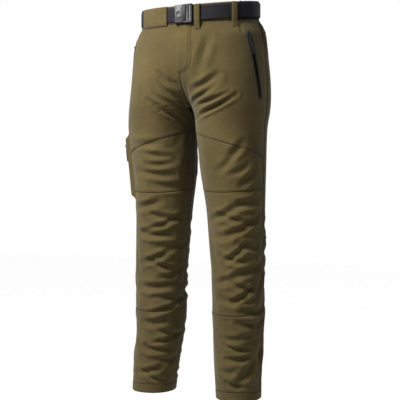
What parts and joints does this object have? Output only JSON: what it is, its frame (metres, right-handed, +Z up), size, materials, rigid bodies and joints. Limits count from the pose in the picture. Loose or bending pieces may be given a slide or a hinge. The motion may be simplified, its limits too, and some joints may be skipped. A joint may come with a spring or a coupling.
{
  "type": "outdoor work trousers",
  "caption": "Straight-leg outdoor work trousers with shaped knee panels, zipped pockets, partly elastic waistband, belt loops and a webbing belt with a lever buckle.",
  "frame": {"origin": "middle of the waist opening at the height of the belt's centre line", "axes": "+Z up out of the waist opening, -Y the way the wearer faces, +X towards the wearer's left"},
  "size_m": [0.4073, 0.2678, 1.0839],
  "materials": {
    "shell_cloth": "matt woven",
    "lining": "matt",
    "elastic": "ribbed",
    "webbing": "woven webbing",
    "zip_tape": "water resistant tape",
    "moulded": "satin",
    "pull_rubber": "matt",
    "steel": "polished",
    "badge": "satin",
    "snap": "dark nickel"
  },
  "bodies": {
    "trousers": {"left_front_panel": "shell_cloth", "left_thigh_panel": "shell_cloth", "left_knee_panel": "shell_cloth", "left_shin_panel": "shell_cloth", "left_back_yoke": "shell_cloth", "left_back_panel": "shell_cloth", "left_calf_panel": "shell_cloth", "left_hem_band": "shell_cloth", "left_hand_pocket_bag": "lining", "right_front_panel": "shell_cloth", "right_thigh_panel": "shell_cloth", "right_knee_panel": "shell_cloth", "right_shin_panel": "shell_cloth", "right_back_yoke": "shell_cloth", "right_back_panel": "shell_cloth", "right_calf_panel": "shell_cloth", "right_hem_band": "shell_cloth", "right_hand_pocket_bag": "lining", "fly_placket": "shell_cloth", "fly_shield": "lining", "waistband_left_front": "shell_cloth", "waistband_right_front": "shell_cloth", "waistband_left_elastic": "elastic", "waistband_right_elastic": "elastic", "waistband_back": "shell_cloth", "waist_snap_cap": "snap", "waist_snap_socket": "snap", "waist_snap_stud": "snap", "belt_loop_left_front": "shell_cloth", "belt_loop_left_hip": "shell_cloth", "belt_loop_left_back": "shell_cloth", "belt_loop_back_centre": "shell_cloth", "belt_loop_right_back": "shell_cloth", "belt_tunnel_right_front": "shell_cloth", "buckle_body": "moulded", "buckle_lever_pin": "steel", "buckle_bright_bar": "steel", "buckle_anchor_pin": "steel", "belt_webbing": "webbing", "belt_tip": "moulded", "left_pocket_zip_tape_front": "zip_tape", "left_pocket_zip_tape_rear": "zip_tape", "right_pocket_zip_tape_front": "zip_tape", "right_pocket_zip_tape_rear": "zip_tape", "fly_zip_tape_front": "zip_tape", "fly_zip_tape_rear": "zip_tape", "cargo_zip_tape_front": "zip_tape", "cargo_zip_tape_rear": "zip_tape", "cargo_pocket": "shell_cloth"},
    "left_pocket_zip_slider": {"left_pocket_zip_slider": "moulded"},
    "left_pocket_zip_pull": {"left_pocket_zip_pull": "pull_rubber"},
    "right_pocket_zip_slider": {"right_pocket_zip_slider": "moulded"},
    "right_pocket_zip_pull": {"right_pocket_zip_pull": "pull_rubber"},
    "cargo_zip_slider": {"cargo_zip_slider": "moulded"},
    "cargo_zip_pull": {"cargo_zip_pull": "pull_rubber"},
    "fly_zip_slider": {"fly_zip_slider": "moulded", "fly_zip_pull": "pull_rubber"},
    "buckle_lever": {"buckle_lever": "moulded", "buckle_badge": "badge"}
  },
  "joints": [
    {"name": "left_pocket_zip_slide", "type": "slide", "parent": "trousers", "child": "left_pocket_zip_slider", "axis": [0.1454, 0.106, -0.9837], "range_m": [0, 0.138]},
    {"name": "left_pocket_zip_pull_swing", "type": "hinge", "parent": "left_pocket_zip_slider", "child": "left_pocket_zip_pull", "pos_m": [0.17157, -0.05715, -0.08289], "axis": [-0.3514, -0.9239, -0.1515], "range_deg": [0, 150]},
    {"name": "right_pocket_zip_slide", "type": "slide", "parent": "trousers", "child": "right_pocket_zip_slider", "axis": [-0.1538, 0.1051, -0.9825], "range_m": [0, 0.138]},
    {"name": "right_pocket_zip_pull_swing", "type": "hinge", "parent": "right_pocket_zip_slider", "child": "right_pocket_zip_pull", "pos_m": [-0.17165, -0.05716, -0.08286], "axis": [-0.3512, 0.9236, 0.1538], "range_deg": [0, 150]},
    {"name": "cargo_zip_slide", "type": "slide", "parent": "trousers", "child": "cargo_zip_slider", "axis": [0.1111, 0.0145, -0.9937], "range_m": [0, 0.118]},
    {"name": "cargo_zip_pull_swing", "type": "hinge", "parent": "cargo_zip_slider", "child": "cargo_zip_pull", "pos_m": [-0.20203, -0.05442, -0.35414], "axis": [-0.3728, 0.9275, -0.0281], "range_deg": [0, 150]},
    {"name": "fly_zip_slide", "type": "slide", "parent": "trousers", "child": "fly_zip_slider", "axis": [0, -0.0722, -0.9974], "range_m": [0, 0.08]},
    {"name": "buckle_lever_hinge", "type": "hinge", "parent": "trousers", "child": "buckle_lever", "pos_m": [0.01521, -0.12613, -0.01985], "axis": [0, 0, 1], "range_deg": [0, 100]}
  ]
}
